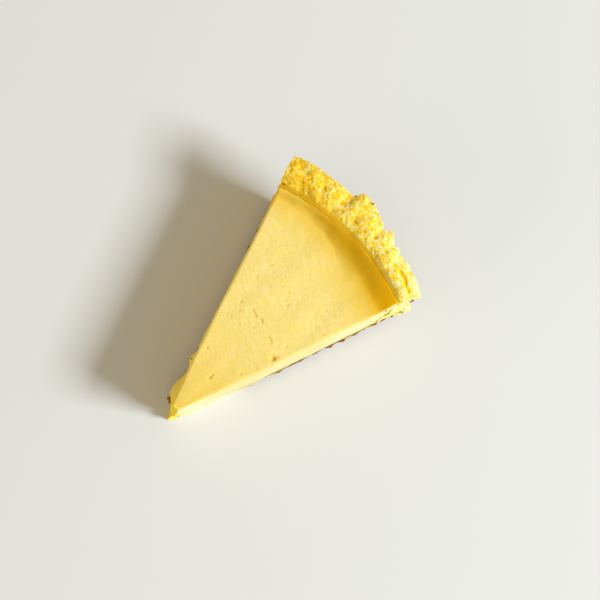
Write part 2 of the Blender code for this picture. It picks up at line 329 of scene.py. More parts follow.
crust = dict(
    voxel=0.27 * mm,
    triangles=195000,
    # clusters, crumbs and grit: spacing, height, slope at the border, lowest and highest share
    grains=(
        (3.0 * mm, 0.14 * mm, 0.2, -0.5, 0.5),
        (1.20 * mm, 0.19 * mm, 0.3, 0.35, 1.0),
        (0.70 * mm, 0.05 * mm, 0.35, 0.0, 1.0),
    ),
    # holes where crumbs came out: spacing, share of cells, reach and depth, and spread of the reach
    holes=((1.6 * mm, 0.42, 0.40 * mm, 0.26 * mm), (3.2 * mm, 0.45, 0.60 * mm, 0.35 * mm)),
    holeReach=(0.6, 1.3),
    # size and reach of the grains' unevenness
    warp=(1.4 * mm, 0.45 * mm),
    # how far the relief is sunk, and the right cut's base besides
    sink=0.12 * mm,
    baseSink=0.30 * mm,
    # share of the relief on the cuts, the left cut's foot, the outer wall and a strip along the
    # rim's outer edge, and the least that counts
    cutShare=0.6,
    footShare=1.1,
    wallShare=0.30,
    stripShare=0.45,
    stripWidth=3.2 * mm,
    leastShare=0.02,
    # where the smooth inner band ends, left and right, and half its blur
    bandEdge=(113.1 * mm, 112.2 * mm),
    bandBlur=0.5 * mm,
    # how far the solid's own lumps are evened out
    evened=0.95,
    evenRounds=200,
    # wear of the inner shoulder, and the radius where it starts, left and right
    shoulder=(0.2 * mm, 0.6 * mm),
    shoulderRadius=(116 * mm, 117.5 * mm),
    # how much fuller the rim stands beside the custard, and the share lost at the right end
    fuller=0.75 * mm,
    fullerLost=0.6,
    # how far the outer edge stands out beyond the solid's, in mm, by share across
    edgeAcross=(
        -1, -0.95, -0.9, -0.8, -0.75, -0.6, -0.4, -0.3, -0.25, -0.2, -0.15, -0.1,
        -0.025, 0.005, 0.035, 0.065, 0.095, 0.125, 0.155, 0.185, 0.215, 0.245, 0.275, 0.305, 0.335,
        0.365, 0.425, 0.455, 0.485, 0.515, 0.605, 0.665, 0.725, 0.785, 0.845, 0.905, 1,
    ),
    edgeOut=(
        1.1, 1.5, 1.0, 0.7, 1.3, 0.1, 0, -0.4, -0.7, 0.7, 1.0, 0.1,
        0.2, -0.3, 0.4, 1.4, 1.2, 0, 0.3, -0.5, -2.2, -0.7, 0.4, 0.6, 0.2,
        0, -0.3, 1.0, 1.2, 0.2, 0.4, 1.4, 0.6, 1.1, 1.0, 0.5, 0,
    ),
    # height at which pixels on the rim are read
    rimLevel=34 * mm,
    # the crack near the right end: pixels, half width and depth
    crack=((398.0, 269.5), (401.0, 272.5), (404.3, 277.5), (405.6, 284.0), (408.6, 291.5)),
    crackWide=0.65 * mm,
    crackDeep=0.9 * mm,
    # the solid's crack, filled first: radius, half width and depth
    filled=(118.6 * mm, 1.7 * mm, 0.9 * mm),
    # pits where clusters of crumbs came away: depth to reach, then pixel and reach in mm
    pitDepth=0.55,
    pits=(
        (294.5, 162.0, 0.75), (302.0, 168.0, 0.65), (302.5, 182.0, 0.70), (311.0, 178.5, 0.50),
        (313.0, 189.0, 0.70), (318.0, 187.0, 0.50), (324.5, 187.5, 0.75), (333.0, 197.0, 0.50),
        (342.0, 203.0, 0.80), (342.0, 212.0, 0.60), (350.0, 209.0, 0.65), (354.5, 222.5, 0.75),
        (364.0, 232.0, 0.60), (371.0, 229.5, 0.55), (375.0, 237.0, 0.80), (372.0, 243.0, 0.60),
        (381.0, 244.5, 0.60), (386.0, 251.5, 0.75), (382.0, 259.0, 0.55), (389.0, 239.5, 0.45),
        (395.0, 264.5, 0.80), (393.0, 278.0, 0.50),
    ),
    # skin that the tin browned
    tinSkin=0.9 * mm,
    # where the golden foot at the tip starts to fade and is gone, left and right
    tipStart=(3 * mm, 0.5 * mm),
    tipFull=(8 * mm, 2.5 * mm),
    # lump size, depth and offset of the noise in each border
    wander=dict(
        skin=((6 * mm, 0.5 * mm, 0),),
        side=((5 * mm, 2 * mm, 3),),
        foot=((4 * mm, 0.5 * mm, 7),),
        tip=((3 * mm, 1.5 * mm, 8),),
        smear=((5 * mm, 9 * mm, 9),),
    ),
    # where each zone starts and is full
    zones=dict(
        topHeight=(30 * mm, 31.5 * mm), topUp=(0.1, 0.5), cutSideways=(0.7, 0.9), cutOutward=(0.4, 0.6),
        wallOutward=(0.4, 0.7), wallHeight=(0.5 * mm, 2 * mm), rightEnd=(0.2, 0.9),
        shelfHeight=(31.5 * mm, 32.5 * mm), shelfRadius=(110.8 * mm, 111.4 * mm), evened=(0.3, 0.7),
        filledAcross=(0.47, 0.59), wornAcross=(0.3, 0.9), wornHeight=(30.5 * mm, 34.5 * mm),
        fullerAcross=(-0.35, 0.1), fullerEnd=(0.6, 0.9), fullerRise=(111.4 * mm, 113.0 * mm),
        fullerFall=(116.8 * mm, 113.0 * mm), fullerHeight=(31 * mm, 32 * mm),
        edgeRadius=(115 * mm, 121 * mm), edgeHeight=(22 * mm, 30 * mm), strip=(-1 * mm, 0),
        leftFoot=(7 * mm, 5 * mm), sunkHeight=(6.5 * mm, 5.2 * mm), sunkAcross=(0.3, 0.5),
        sunkRadius=(20 * mm, 30 * mm), tinSide=(0.4, 1.4), tinHeight=(24 * mm, 31 * mm),
        footHeight=(5.4 * mm, 6.6 * mm), tipAcross=(0, 0.3), smearAcross=(0.0, 0.2),
        smearRadius=(26 * mm, 46 * mm), insideBand=(-0.8 * mm, 0.4 * mm),
        insideHeight=(8 * mm, 10 * mm), insideInward=(-0.2, -0.5), insideUp=(0.35, 0.6),
        openCutSideways=(0.6, 0.85), openCutHeight=(7 * mm, 10 * mm), leanInward=(-0.02, -0.35),
        leanHeight=(28 * mm, 31 * mm),
    ),
)


def randomOf(places):
    # a fixed random share for each place
    wave = np.sin(places @ np.array([12.9898, 78.233, 37.719])) * 43758.5453
    return wave - np.floor(wave)


def cells(points, size, offset):
    # for each point: distance to its cell's middle, distance to the border, and the cell's random share
    shift = Vector((offset, 2 * offset, 3 * offset))
    first, second, middle = np.empty(len(points)), np.empty(len(points)), np.empty((len(points), 3))
    for i, p in enumerate(points):
        distances, places = noise.voronoi(Vector(p) / size + shift)
        first[i], second[i], middle[i] = distances[0], distances[1], places[0]
    return first * size, (second - first) * 0.5, randomOf(middle)


def crustSides(points, normals):
    # how much each point belongs to the broken top, to a cut, and to the pressed wall outside
    radius, across = slicePlace(points)
    facing = outwardFacing(normals, across)
    height = points[:, 2]
    band = mix(*crust["bandEdge"], zone(crust, "rightEnd", across))
    blur = crust["bandBlur"]
    top = zone(crust, "topHeight", height) * zone(crust, "topUp", normals[:, 2])
    top *= fade(band - blur, band + blur, radius)
    sideways, outward = np.abs(normals[:, 0]), np.abs(facing)
    cut = zone(crust, "cutSideways", sideways) * (1 - zone(crust, "cutOutward", outward))
    wall = zone(crust, "wallOutward", facing) * zone(crust, "wallHeight", height)
    return top, cut, wall


def wearCrust(mesh):
    # evens out the solid's own lumps, which are coarser than crumbs, wears the rim's inner shoulder
    # down, fills the rim beside the custard and draws its outer edge to where the photograph has it
    points, normals = meshArrays(mesh)
    radius, across = slicePlace(points)
    shelf = zone(crust, "shelfHeight", points[:, 2]) * zone(crust, "topUp", normals[:, 2])
    shelf *= zone(crust, "shelfRadius", radius)
    top = np.maximum(crustSides(points, normals)[0], shelf)
    ends = meshEdges(mesh)
    ends = ends[(top[ends] > crust["zones"]["evened"][0]).all(axis=1)]
    level = averaged(points[:, 2], ends, crust["evenRounds"])
    points[:, 2] = mix(points[:, 2], level, crust["evened"] * zone(crust, "evened", top))
    middle, wide, deep = crust["filled"]
    points[:, 2] += deep * top * bell(radius - middle, wide) * zone(crust, "filledAcross", across)
    worn = zone(crust, "wornAcross", across)
    drop = mix(*crust["shoulder"], worn) * zone(crust, "wornHeight", points[:, 2])
    points[:, 2] -= drop * fade(mix(*crust["shoulderRadius"], worn), pie["crestRadius"], radius)
    fuller = crust["fuller"] * zone(crust, "fullerAcross", across)
    fuller *= 1 - crust["fullerLost"] * zone(crust, "fullerEnd", across)
    fuller *= zone(crust, "fullerRise", radius) * zone(crust, "fullerFall", radius)
    points[:, 2] += fuller * zone(crust, "fullerHeight", points[:, 2])
    angle = across * pie["halfAngle"]
    outward = np.interp(across, crust["edgeAcross"], crust["edgeOut"]) * mm
    outward *= zone(crust, "edgeRadius", radius) * zone(crust, "edgeHeight", points[:, 2])
    points[:, 0] += outward * np.sin(angle)
    points[:, 1] += outward * np.cos(angle)
    setPoints(mesh, points)


def crumbRelief(spot, onTop):
    # how far the crumbs stand out at each spot, and how much of it lies in the crack; each noise has
    # an offset of its own
    size, depth = crust["warp"]
    warped = spot + depth * np.stack([softNoise(spot, size, k) for k in (20, 40, 60)], axis=1)
    height = np.zeros(len(spot))
    for i, (size, depth, slope, least, most) in enumerate(crust["grains"]):
        _, border, pick = cells(warped, size, 3 + 2 * i)
        height += depth * fade(0, slope, border) * mix(least, most, pick)
    for i, (size, chance, reach, deep) in enumerate(crust["holes"]):
        away, _, pick = cells(warped, size, 9 + i)
        height -= deep * (pick < chance) * bell(away, reach * mix(*crust["holeReach"], pick / chance))
    height -= crust["sink"]
    for *pixel, reach in crust["pits"]:
        middle = pixelPlace(pixel, crust["rimLevel"])
        away = np.hypot(warped[:, 0] - middle[0], warped[:, 1] - middle[1])
        height -= crust["pitDepth"] * reach * mm * bell(away, reach * mm) * onTop
    crack = bell(lineDistance(spot, crust["crack"], crust["rimLevel"]), crust["crackWide"]) * onTop
    return mix(height, -crust["crackDeep"], crack), crack


def makeCrust():
    solid = weldedCopy("crust", "crustSolid")
    mesh = withModifiers(solid, [("REMESH", dict(mode="VOXEL", voxel_size=crust["voxel"]))])
    wearCrust(mesh)
    points, normals = meshArrays(mesh)
    top, cut, wall = crustSides(points, normals)
    radius, across = slicePlace(points)
    strip = zone(crust, "strip", radius - pie["rimRadius"] + crust["stripWidth"])
    top = top * mix(1, crust["stripShare"], strip)
    foot = cut * zone(crust, "leftFoot", points[:, 2]) * (across < 0)
    share = np.maximum.reduce([
        top, cut * crust["cutShare"], foot * crust["footShare"], wall * crust["wallShare"],
    ])
    rough = share > crust["leastShare"]
    height, crack = crumbRelief(points[rough], top[rough] > 0)
    sunk = zone(crust, "sunkHeight", points[rough, 2]) * zone(crust, "sunkAcross", across[rough])
    sunk *= zone(crust, "sunkRadius", radius[rough])
    height = height - crust["baseSink"] * sunk / crust["cutShare"]

    out, relief, groove = (np.zeros(len(points)) for _ in range(3))
    out[rough] = height * share[rough]
    relief[rough] = height / mm
    groove[rough] = crack
    setPoints(mesh, insideBox(points + normals * out[:, None]))
    paint(mesh, relief=relief, crack=groove)
    markCrust(mesh, points, normals)
    count = len(triangles(mesh))
    fine = withModifiers(mesh, [
        ("DECIMATE", dict(ratio=min(1.0, crust["triangles"] / count), use_collapse_triangulate=True)),
    ])
    setPoints(fine, insideBox(meshArrays(fine)[0]))
    print("crust meshed at", count, "triangles, kept", len(fine.polygons))
    return fine


def markCrust(mesh, points, normals):
    # where the oven browned it, the smooth inner band painted for its shade, the inward slopes painted
    # for light, and what each side is
    radius, across = slicePlace(points)
    facing = outwardFacing(normals, across)
    height = points[:, 2]
    wander = {name: layered(points, layers) for name, layers in crust["wander"].items()}
    tin = mix(pie["baseRadius"], pie["rimRadius"], height / pie["outerEdgeHeight"])
    side = 1 - zone(crust, "tinSide", (tin - radius) / (crust["tinSkin"] + wander["skin"]))
    side *= 1 - zone(crust, "tinHeight", height + wander["side"])
    foot = 1 - zone(crust, "footHeight", height + wander["foot"])
    rightward = zone(crust, "tipAcross", across)
    start, full = mix(*crust["tipStart"], rightward), mix(*crust["tipFull"], rightward)
    nearTip = 1 - fade(start, full, radius + wander["tip"])
    smeared = 1 - zone(crust, "smearRadius", radius + wander["smear"])
    smeared *= zone(crust, "smearAcross", across)
    browned = np.maximum(side, foot * (1 - nearTip) * (1 - smeared))
    band = mix(*crust["bandEdge"], zone(crust, "rightEnd", across))
    # painted shade: the rim's smooth inner band, darker gold at the left and lifted at the right where it
    # lies in shadow
    inside = (1 - zone(crust, "insideBand", radius - band)) * zone(crust, "insideHeight", height)
    inside *= np.maximum(zone(crust, "insideInward", facing), zone(crust, "insideUp", normals[:, 2]))
    openCut = zone(crust, "openCutSideways", normals[:, 0]) * zone(crust, "openCutHeight", height)
    # painted light: a paler tone on the crest's slopes that face the axis and lie in shade
    lean = zone(crust, "leanInward", facing) * zone(crust, "leanHeight", height)
    paint(
        mesh,
        browned=browned,
        inside=inside * (1 - openCut),
        openCut=openCut,
        lean=lean * (1 - inside) * (1 - openCut),
        across=across,
        smeared=smeared * foot * (1 - nearTip),
        nearTip=nearTip * foot,
        foot=foot,
    )


def crustMaterial():
    # butter-crumb crust, pressed in a tin and baked: matt pale crumbs with painted highlights on their
    # tops, deep yellow between them from butter swirls and painted shade in the hollows, and brown only
    # where it lay against the tin
    material, tree = newMaterial("butter-crumb crust, pressed and baked")
    marks = {}
    for name in (
        "relief", "browned", "inside", "openCut", "lean", "crack", "across", "foot", "smeared", "nearTip",
    ):
        marks[name] = addNode(tree, "Attribute", attribute_name=name).outputs["Fac"]
    place = addNode(tree, "TexCoord").outputs["Object"]
    # butter gathered between the crumbs in swirls 1.6 mm wide, with dry and pale crumbs beside them
    swirl = addNode(tree, "TexNoise", {"Vector": place, "Scale": 1 / (1.6 * mm), "Detail": 1.8})
    swirl = swirl.outputs["Fac"]
    # each share: what it follows, where it starts and is full, and its most
    shares = {}
    for name, value, start, full, most in (
        ("butter", swirl, 0.50, 0.60, 0.9),
        ("butterToasted", swirl, 0.50, 0.60, 1.0),
        ("dry", swirl, 0.51, 0.42, 0.85),
        # painted highlight on the crumb tops and painted shade in the hollows, both by the relief
        ("crumbTopHighlight", marks["relief"], 0.04, 0.22, 0.3),
        ("toastedTopHighlight", marks["relief"], 0.04, 0.22, 0.78),
        ("gap", marks["relief"], 0.0, -0.20, 1.0),
        ("lean", marks["lean"], 0.0, 1.0, 0.8),
        ("rightward", marks["across"], -0.95, 0.95, 1.0),
    ):
        shares[name] = addNode(tree, "MapRange", {
            "Value": value, "From Min": start, "From Max": full, "To Max": most,
        }).outputs["Result"]
    # paler from the left end to the right one
    tones = {}
    for name, codes in (
        ("body", ("#FFDC3E", "#FFE264", "#FCE48C", "#F8E6AC")),
        ("top", ("#FFEE8C", "#FFF2A4", "#FFF0BC", "#FBECC2")),
        ("gap", ("#F2BE08", "#F3C20C", "#F2C81E", "#F2D040")),
        # painted shade on the inner band: darker gold at the left, brightened at the right against its
        # shadow
        ("inside", ("#D8A814", "#E2B014", "#FFD830", "#FFE244")),
        # painted light for the shaded inward slopes
        ("lean", ("#FFE650", "#FFF07A", "#FFF084", "#FFF09C")),
    ):
        ramp = addNode(tree, "ValToRGB", {"Fac": shares["rightward"]})
        stops = ramp.color_ramp.elements
        stops[0].color, stops[1].color = hexColour(codes[0]), hexColour(codes[3])
        stops.new(0.25).color = hexColour(codes[1])
        stops.new(0.75).color = hexColour(codes[2])
        tones[name] = ramp.outputs["Color"]
    # darkest along the foot, where the base met the hot tin, and darker at the left end as painted shade
    # for the left cut, which lies in shadow
    tones["foot"] = addNode(tree, "Mix", {
        "Factor": shares["rightward"], "A": "#98752E", "B": "#B8924C",
    }, data_type="RGBA").outputs["Result"]
    toasted = "#B9924C"
    for share, tone in (
        (shares["butterToasted"], "#8E6E36"),
        (marks["foot"], tones["foot"]),
        (shares["toastedTopHighlight"], "#CFA75C"),
        # painted shade in the hollows of the browned crust
        (shares["gap"], "#6E5022"),
    ):
        toasted = addNode(tree, "Mix", {
            "Factor": share, "A": toasted, "B": tone,
        }, data_type="RGBA").outputs["Result"]
    colour = tones["body"]
    for share, tone in (
        (marks["openCut"], "#EBDCA6"),
        (shares["dry"], tones["top"]),
        # painted light on the inward slopes that lie in shade
        (shares["lean"], tones["lean"]),
        (shares["butter"], tones["gap"]),
        # painted highlight on the crumb tops, then painted shade in the hollows
        (shares["crumbTopHighlight"], tones["top"]),
        (shares["gap"], tones["gap"]),
        # the crack's amber, painted brighter to lift the shade inside it
        (marks["crack"], "#FFCC0C"),
        # painted shade on the rim's inner band
        (marks["inside"], tones["inside"]),
        (marks["browned"], toasted),
        (marks["smeared"], "#EDDFAC"),
        (marks["nearTip"], "#F0D458"),
    ):
        colour = addNode(tree, "Mix", {
            "Factor": share, "A": colour, "B": tone,
        }, data_type="RGBA").outputs["Result"]
    # grit as fine as sugar, drawn at 0.5 mm so that it shows
    fine = addNode(tree, "TexNoise", {"Vector": place, "Scale": 1 / (0.5 * mm), "Detail": 4.0})
    bump = addNode(tree, "Bump", {
        "Height": fine.outputs["Fac"], "Strength": 0.18, "Distance": 0.15 * mm,
    })
    shader = addNode(tree, "BsdfPrincipled", {
        "Base Color": colour,
        "Roughness": 0.8,
        "IOR": 1.45,
        "Specular IOR Level": 0.12,
        "Subsurface Weight": 0.8,
        "Subsurface Radius": (1.0, 0.8, 0.35),
        "Subsurface Scale": 1.0 * mm,
        "Normal": bump.outputs["Normal"],
    })
    addNode(tree, "OutputMaterial", {"Surface": shader.outputs["BSDF"]})
    return material


# Custard

custard = dict(
    stations=300,
    columns=170,
    layers=44,
    # how much closer they lie at the tip, the cuts and the top
    closer=(1.15, 0.2, 1.25),
    # rounds in which each point's height and radius settle
    settling=4,
    tipRadius=0.8 * mm,
    floorGap=0.05 * mm,
    slump=17 * mm,
    slumpEnd=6.5 * mm,
    swell=(0.35 * mm, 28 * mm),
    # how high it climbs the crust, left and right, and where that starts, by share across
    climb=(3.9 * mm, 4.3 * mm),
    climbAcross=(-1.0, -0.45, 0.0, 0.45, 1.0),
    climbFrom=(107.2 * mm, 106.0 * mm, 102.4 * mm, 96 * mm, 95 * mm),
    climbTo=111.8 * mm,
    # how much that line wanders, the size of its turns, and the width they are read at
    climbWander=(0.8 * mm, 6 * mm),
    climbWidth=30 * mm,
    # it steepens by a power at the left, and rises in steps at the right: share and start
    climbPower=1.4,
    climbSteps=((0.35, 0), (0.65, 0.4)),
    # the top dives under the crust's shoulder: from, to and by how much
    dive=(111.2 * mm, 112.4 * mm, 1.2 * mm),
    # how far the back reaches into the crust, lower down and at the top
    buried=(0.35 * mm, 1.25 * mm),
    leftDraft=1.45 * mm,
    rightDraft=2.0 * mm,
    # beyond this radius the left cut stands more upright
    leftUpright=(40 * mm, 60 * mm, 0.6),
    cutRound=(0.6 * mm, 42 * mm, 30 * mm),
    nose=(0.0, 8 * mm, 0.42),
    # bulges of the left cut: radius and height, reach along and up, and how far out
    belly=(11 * mm, 11 * mm, 7.5 * mm, 10 * mm, 3.6 * mm),
    ledge=(27 * mm, 17 * mm, 2.6 * mm, 7 * mm, 1.7 * mm),
    cutWave=(0.25 * mm, 9 * mm),
    # the knife's edge is rounded inward and down: amount and reach
    edgeRound=(0.45 * mm, 0.9 * mm),
    edgeDrop=(0.25 * mm, 0.5 * mm),
    # share across beyond which a point lies on a cut
    cutFrom=0.999,
    # gold towards the crust, partly the custard's own colour and partly painted shade from the rim: start
    # and share, left and right
    goldFrom=(94 * mm, 81 * mm),
    goldShare=(0.8, 1),
    goldTo=111 * mm,
    # gold towards the tip, and more on the right
    goldTip=(0.38, 0.3),
    # painted shadow of the rim, deep gold along the crust: where it starts and is full, by share across
    rimShadowAcross=(-1.0, -0.45, 0.0, 0.45, 1.0),
    rimShadowFrom=(109 * mm, 107.5 * mm, 99.5 * mm, 99.5 * mm, 97 * mm),
    rimShadowFull=(113 * mm, 111 * mm, 109.5 * mm, 107 * mm, 106 * mm),
    # how far the right cut stays cream at the nose, and how far the left edge has the cut's tone
    noseSpared=0.9,
    leftEdge=0.5,
    # how far the cut's paler tone comes back towards the crust
    paleBack=0.4,
    # depth of a dent with the full painted shade
    sunkFull=0.35 * mm,
    strokeTurn=math.radians(55),
    # how far the knife's marks are drawn out
    knifeDrawn=0.12,
    # lump size, depth and offset of the noises
    relief=dict(
        skin=((5 * mm, 0.05 * mm, 2), (1.4 * mm, 0.02 * mm, 5)),
        knife=((3.4 * mm, 0.22 * mm, 4), (1.2 * mm, 0.10 * mm, 6)),
        torn=((2.6 * mm, 0.35 * mm, 9), (1.1 * mm, 0.15 * mm, 11)),
        deep=((4 * mm, 0.8 * mm, 13),),
    ),
    # where each zone starts and is full
    zones=dict(
        belly=(3.2 * mm, 7.5 * mm), climbRight=(0, 0.6), climbSide=(-0.9, 0.3),
        buriedLayer=(0.88, 0.98), skinUp=(0.75, 0.95), knifeLayer=(1, 0.93),
        tornRadius=(7.5 * mm, 5.5 * mm), tornEdge=(0, 0.8 * mm), goldAcross=(-0.9, 0.9),
        goldTip=(62 * mm, 15 * mm), goldTipAcross=(0, 0.8), goldTipRight=(24 * mm, 10 * mm),
        climb=(108.8 * mm, 110.6 * mm), nose=(8 * mm, 5.5 * mm), noseCut=(3.5 * mm, 5 * mm),
        edge=(0.25 * mm, 0), edgeRadius=(6 * mm, 9 * mm), paleTip=(30 * mm, 12 * mm),
        paleBack=(76 * mm, 86 * mm),
    ),
    # dents in the skin: pixel, and reach and depth in mm
    dents=(
        (210.0, 377.2, 0.55, 0.5), (212.2, 374.9, 0.45, 0.4), (207.0, 347.6, 0.45, 0.35),
        (241.0, 301.6, 0.45, 0.4), (257.0, 277.0, 0.35, 0.25), (266.0, 250.0, 0.35, 0.25),
        (293.3, 293.6, 0.35, 0.3), (288.0, 304.7, 0.40, 0.3), (253.0, 328.0, 0.35, 0.25),
        (239.3, 311.0, 0.35, 0.25), (230.8, 317.0, 0.35, 0.25), (239.3, 324.0, 0.35, 0.25),
        (273.2, 358.3, 1.0, 0.8), (277.2, 357.0, 0.5, 0.3), (240.2, 374.0, 0.45, 0.35),
        (323.2, 334.6, 0.5, 0.3), (286.6, 346.7, 0.4, 0.25),
    ),
    # scratches: both ends, half width and depth
    scratches=(
        ((252.2, 309.0), (256.4, 316.6), 0.36 * mm, 0.32 * mm),
        ((260.4, 318.6), (262.4, 321.8), 0.40 * mm, 0.34 * mm),
        ((268.3, 336.5), (271.5, 342.5), 0.35 * mm, 0.22 * mm),
    ),
)


def noiseAt(a, b, c, size):
    flat = np.stack(np.broadcast_arrays(a, b, c), axis=-1).reshape(-1, 3)
    return softNoise(flat, size).reshape(np.broadcast(a, b, c).shape)


def cutBump(shape, radius, height):
    middleRadius, middleHeight, reachAlong, reachUp, out = shape
    return out * bell(radius - middleRadius, reachAlong) * bell(height - middleHeight, reachUp)


def custardOut(radius, across, height):
    # how far the custard's cut stands outside its own radial line
    start, end, share = custard["leftUpright"]
    leftDraft = custard["leftDraft"] * mix(1, share, fade(start, end, radius))
    draft = np.where(across > 0, custard["rightDraft"], leftDraft)
    start, end, share = custard["nose"]
    drawnIn = mix(share, 1, fade(start, end, radius))
    amount, middle, reach = custard["cutRound"]
    out = draft * (1 - height / pie["custardLevel"]) * drawnIn + amount * bell(radius - middle, reach)
    bulge = cutBump(custard["belly"], radius, height) * zone(custard, "belly", radius)
    bulge = bulge + cutBump(custard["ledge"], radius, height)
    out = out + np.where(across > 0, 0, bulge)
    depth, size = custard["cutWave"]
    return out + depth * noiseAt(radius, 3 * height, 0 * radius, size)


def slicePoint(radius, across, height, out):
    half = pie["halfAngle"]
    angle = across * half
    share = fade(pie["straightUntil"], pie["arcsFrom"], radius)
    x = mix(across * radius * math.sin(half), radius * np.sin(angle), share)
    x = x + across * out / math.cos(half)
    y = mix(radius * math.cos(half), radius * np.cos(angle), share)
    return np.stack([pie["axis"][0] + x, pie["axis"][1] + y, height], axis=-1)


def custardLevel(radius, across):
    # level, falling away at the blunt tip, climbing the crust a little and diving under its shoulder
    slump = custard["slump"] * (1 - fade(custard["tipRadius"], custard["slumpEnd"], radius))
    amount, size = custard["climbWander"]
    start = np.interp(across, custard["climbAcross"], custard["climbFrom"])
    start = start + amount * noiseAt(across * custard["climbWidth"], radius, 0 * radius, size)
    t = np.clip((radius - start) / (custard["climbTo"] - start), 0, 1)
    stepped = sum(share * fade(first, 1, t) for share, first in custard["climbSteps"])
    t = mix(t ** custard["climbPower"], stepped, zone(custard, "climbRight", across))
    climb = mix(*custard["climb"], zone(custard, "climbSide", across)) * t
    amount, size = custard["swell"]
    swell = amount * noiseAt(radius, across * radius, 0 * radius, size)
    start, end, depth = custard["dive"]
    return pie["custardLevel"] - slump + climb + swell - depth * fade(start, end, radius)


def custardBack(height):
    # radius of the crust's inside at this height
    foot, corner = pie["wallFoot"], pie["tinCorner"]
    turned = foot + (pie["crestRadius"] - foot) * corner / (pie["rimHeight"] - pie["baseThickness"])
    turnedHeight = pie["baseThickness"] + corner
    rise = (height - turnedHeight) / (pie["rimHeight"] - turnedHeight)
    leaning = mix(turned, pie["crestRadius"], rise)
    t = np.sqrt(np.clip((height - pie["baseThickness"]) / corner, 0, 1))
    rounded = (1 - t) ** 2 * (foot - corner) + 2 * t * (1 - t) * foot + t * t * turned
    return np.where(height >= turnedHeight, leaning, rounded)


def custardPoint(share, layer, across):
    # from tip to back by share, and from the custard's floor (0) to its top (1) by layer
    floor = pie["baseThickness"] + custard["floorGap"]
    top = np.full(np.broadcast(share, layer, across).shape, pie["custardLevel"])
    for _ in range(custard["settling"]):
        height = mix(floor, top, layer)
        back = custardBack(height) + mix(*custard["buried"], zone(custard, "buriedLayer", layer))
        radius = mix(custard["tipRadius"], back, share)
        top = custardLevel(radius, across)
    height = mix(floor, top, layer)
    amount, reach = custard["edgeRound"]
    out = custardOut(radius, across, height) - amount * bell(top - height, reach)
    point = slicePoint(radius, across, height, out)
    amount, reach = custard["edgeDrop"]
    edge = (1 - np.abs(across)) * np.maximum(radius, 0) * math.sin(pie["halfAngle"])
    point[..., 2] -= amount * fade(0, 1, layer) * bell(edge, reach)
    return point, radius


def makeCustard():
    # five open patches that share their borders, closed underneath by one flat face
    tipCloser, cutCloser, topCloser = custard["closer"]
    stations = np.linspace(0, 1, custard["stations"]) ** tipCloser
    columns = np.linspace(-1, 1, custard["columns"])
    columns = columns * (1 + cutCloser - cutCloser * columns ** 2)
    layers = 1 - (1 - np.linspace(0, 1, custard["layers"])) ** topCloser
    number = np.full((len(stations), len(layers), len(columns)), -1, dtype=np.int64)
    number[:, -1, :] = 0
    number[:, :, (0, -1)] = 0
    number[(0, -1), :, :] = 0
    used = np.argwhere(number == 0)
    number[tuple(used.T)] = np.arange(len(used))

    def quads(grid, flip):
        corners = np.stack([grid[:-1, :-1], grid[1:, :-1], grid[1:, 1:], grid[:-1, 1:]], axis=-1)
        corners = corners.reshape(-1, 4)
        return corners[:, ::-1] if flip else corners

    faces = [np.concatenate([
        quads(number[:, -1, :], True),
        quads(number[:, :, 0], True),
        quads(number[:, :, -1], False),
        quads(number[0, :, :], True),
        quads(number[-1, :, :], False),
    ])]
    ring = np.concatenate([
        number[:, 0, 0], number[-1, 0, 1:], number[-2::-1, 0, -1], number[0, 0, -2:0:-1],
    ])
    faces.append(ring[None, :])
    share, layer, across = stations[used[:, 0]], layers[used[:, 1]], columns[used[:, 2]]
    points, radius = custardPoint(share, layer, across)
    mesh = faceMesh("limeCustard", points, faces)
    print("custard meshed with", len(triangles(mesh)), "triangles")
    return mesh, layer, across, radius


def marksOnSkin(points):
    # depth of the dents and scratches at each point of the skin
    depth = np.zeros(len(points))
    level = pie["custardLevel"]
    for *pixel, reach, deep in custard["dents"]:
        middle = pixelPlace(pixel, level)
        away = np.hypot(points[:, 0] - middle[0], points[:, 1] - middle[1])
        depth = np.maximum(depth, deep * mm * bell(away, reach * mm))
    for first, second, reach, deep in custard["scratches"]:
        depth = np.maximum(depth, deep * bell(lineDistance(points, (first, second), level), reach))
    return depth


def shapeCustard(mesh, layer, across, radius):
    # dents and swells the skin, drags the knife along the cuts and tears the tip
    points, normals = meshArrays(mesh)
    relief = custard["relief"]
    skin = (layer >= 1) * zone(custard, "skinUp", normals[:, 2])
    cut = (np.abs(across) >= custard["cutFrom"]) * 1.0
    sunk = marksOnSkin(points) * skin
    drawn = np.stack([radius * custard["knifeDrawn"], 0 * radius, points[:, 2]], axis=1)
    smear = layered(drawn, relief["knife"]) * cut * zone(custard, "knifeLayer", layer)
    toEdge = (1 - np.abs(across)) * radius * math.sin(pie["halfAngle"])
    torn = zone(custard, "tornRadius", radius) * zone(custard, "tornEdge", toEdge)
    away = layered(points, relief["skin"]) * skin + smear + layered(points, relief["torn"]) * torn - sunk
    setPoints(mesh, points + normals * away[:, None])
    markCustard(mesh, points, cut, sunk, toEdge, across, radius)


